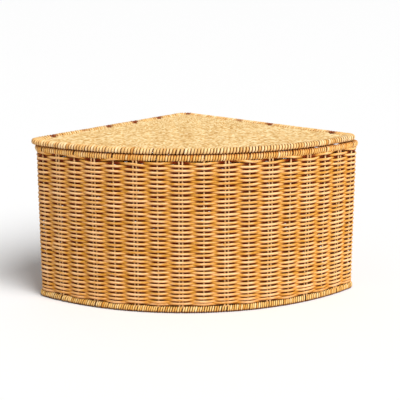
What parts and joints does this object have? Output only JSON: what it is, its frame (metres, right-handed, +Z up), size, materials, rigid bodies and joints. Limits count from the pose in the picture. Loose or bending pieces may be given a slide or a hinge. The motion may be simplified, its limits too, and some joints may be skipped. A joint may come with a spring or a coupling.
{
  "type": "lidded storage basket",
  "caption": "Quarter-circle corner basket of woven imitation rattan on a wire frame, with a flat woven lid that lies loose on the rim and lifts off.",
  "frame": {"origin": "centre of the bounding box of basket and lid, at the floor", "axes": "+Z up; the round front faces -Y, the square corner points to +Y; X runs along the chord of the quarter circle"},
  "size_m": [0.5179, 0.3668, 0.2566],
  "materials": {
    "wall_weave_strand": "satin extruded strand",
    "base_weave_strand": "satin extruded strand",
    "lid_weave_strand": "satin extruded strand",
    "top_rim_wrap_strand": "satin extruded strand",
    "base_rim_wrap_strand": "satin extruded strand",
    "lid_rim_wrap_strand": "satin extruded strand",
    "coated_wire": "satin, coated to match the strand"
  },
  "bodies": {
    "basket": {"base_rim_wrap": "base_rim_wrap_strand", "base_ring": "coated_wire", "base_weave": "base_weave_strand", "frame_wire_pair_1": "coated_wire", "frame_wire_pair_2": "coated_wire", "frame_wire_pair_3": "coated_wire", "frame_wire_pair_4": "coated_wire", "frame_wire_pair_5": "coated_wire", "frame_wire_pair_6": "coated_wire", "frame_wire_pair_7": "coated_wire", "frame_wire_pair_8": "coated_wire", "frame_wire_single_1": "coated_wire", "frame_wire_single_2": "coated_wire", "frame_wire_single_3": "coated_wire", "frame_wire_single_4": "coated_wire", "frame_wire_single_5": "coated_wire", "frame_wire_single_6": "coated_wire", "frame_wire_single_7": "coated_wire", "frame_wire_single_8": "coated_wire", "frame_wire_single_9": "coated_wire", "top_rim_wrap": "top_rim_wrap_strand", "top_ring": "coated_wire", "wall_weave": "wall_weave_strand"},
    "lid": {"lid_rim_wrap": "lid_rim_wrap_strand", "lid_ring": "coated_wire", "lid_stake_01": "coated_wire", "lid_stake_02": "coated_wire", "lid_stake_03": "coated_wire", "lid_stake_04": "coated_wire", "lid_stake_05": "coated_wire", "lid_stake_06": "coated_wire", "lid_stake_07": "coated_wire", "lid_stake_08": "coated_wire", "lid_stake_09": "coated_wire", "lid_stake_10": "coated_wire", "lid_stake_11": "coated_wire", "lid_weave": "lid_weave_strand"}
  },
  "joints": [
    {"name": "lid_lift", "type": "slide", "parent": "basket", "child": "lid", "axis": [0, 0, 1], "range_m": [0, 0.2]}
  ]
}
